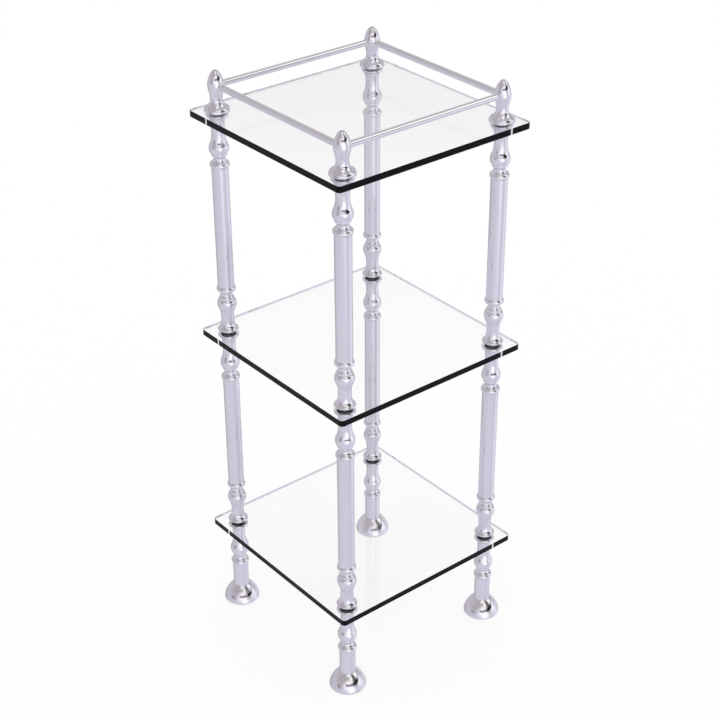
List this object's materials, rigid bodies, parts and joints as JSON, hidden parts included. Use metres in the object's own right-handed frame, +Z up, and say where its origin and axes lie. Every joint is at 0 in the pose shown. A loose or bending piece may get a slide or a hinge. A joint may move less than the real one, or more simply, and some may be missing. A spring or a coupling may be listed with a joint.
{
  "type": "glass shelf etagere",
  "caption": "Tall square etagere with clear glass shelves clamped between turned chrome posts on domed feet, and a gallery rail between the finials.",
  "frame": {"origin": "centre of the square on which the feet stand, at floor level", "axes": "+Z up along the posts, -Y towards the front, +X to the right; the posts stand on the diagonals"},
  "size_m": [0.3556, 0.3556, 0.9647],
  "materials": {
    "castings": "polished chrome plate on turned castings",
    "tube": "polished chrome plate on drawn tube and rod",
    "glass": "clear float glass with polished edges",
    "rubber": "plain black rubber"
  },
  "bodies": {
    "root": {"front_left_foot": "castings", "front_left_leg_tube": "tube", "front_left_leg_top_fitting": "castings", "front_left_lower_base_fitting": "castings", "front_left_lower_tube": "tube", "front_left_lower_top_fitting": "castings", "front_left_upper_base_fitting": "castings", "front_left_upper_tube": "tube", "front_left_upper_top_fitting": "castings", "front_left_finial": "castings", "front_left_bottom_grommet": "rubber", "front_left_middle_grommet": "rubber", "front_left_top_grommet": "rubber", "front_right_foot": "castings", "front_right_leg_tube": "tube", "front_right_leg_top_fitting": "castings", "front_right_lower_base_fitting": "castings", "front_right_lower_tube": "tube", "front_right_lower_top_fitting": "castings", "front_right_upper_base_fitting": "castings", "front_right_upper_tube": "tube", "front_right_upper_top_fitting": "castings", "front_right_finial": "castings", "front_right_bottom_grommet": "rubber", "front_right_middle_grommet": "rubber", "front_right_top_grommet": "rubber", "back_right_foot": "castings", "back_right_leg_tube": "tube", "back_right_leg_top_fitting": "castings", "back_right_lower_base_fitting": "castings", "back_right_lower_tube": "tube", "back_right_lower_top_fitting": "castings", "back_right_upper_base_fitting": "castings", "back_right_upper_tube": "tube", "back_right_upper_top_fitting": "castings", "back_right_finial": "castings", "back_right_bottom_grommet": "rubber", "back_right_middle_grommet": "rubber", "back_right_top_grommet": "rubber", "back_left_foot": "castings", "back_left_leg_tube": "tube", "back_left_leg_top_fitting": "castings", "back_left_lower_base_fitting": "castings", "back_left_lower_tube": "tube", "back_left_lower_top_fitting": "castings", "back_left_upper_base_fitting": "castings", "back_left_upper_tube": "tube", "back_left_upper_top_fitting": "castings", "back_left_finial": "castings", "back_left_bottom_grommet": "rubber", "back_left_middle_grommet": "rubber", "back_left_top_grommet": "rubber", "bottom_shelf": "glass", "middle_shelf": "glass", "top_shelf": "glass", "front_gallery_rail": "tube", "right_gallery_rail": "tube", "back_gallery_rail": "tube", "left_gallery_rail": "tube"}
  },
  "joints": []
}
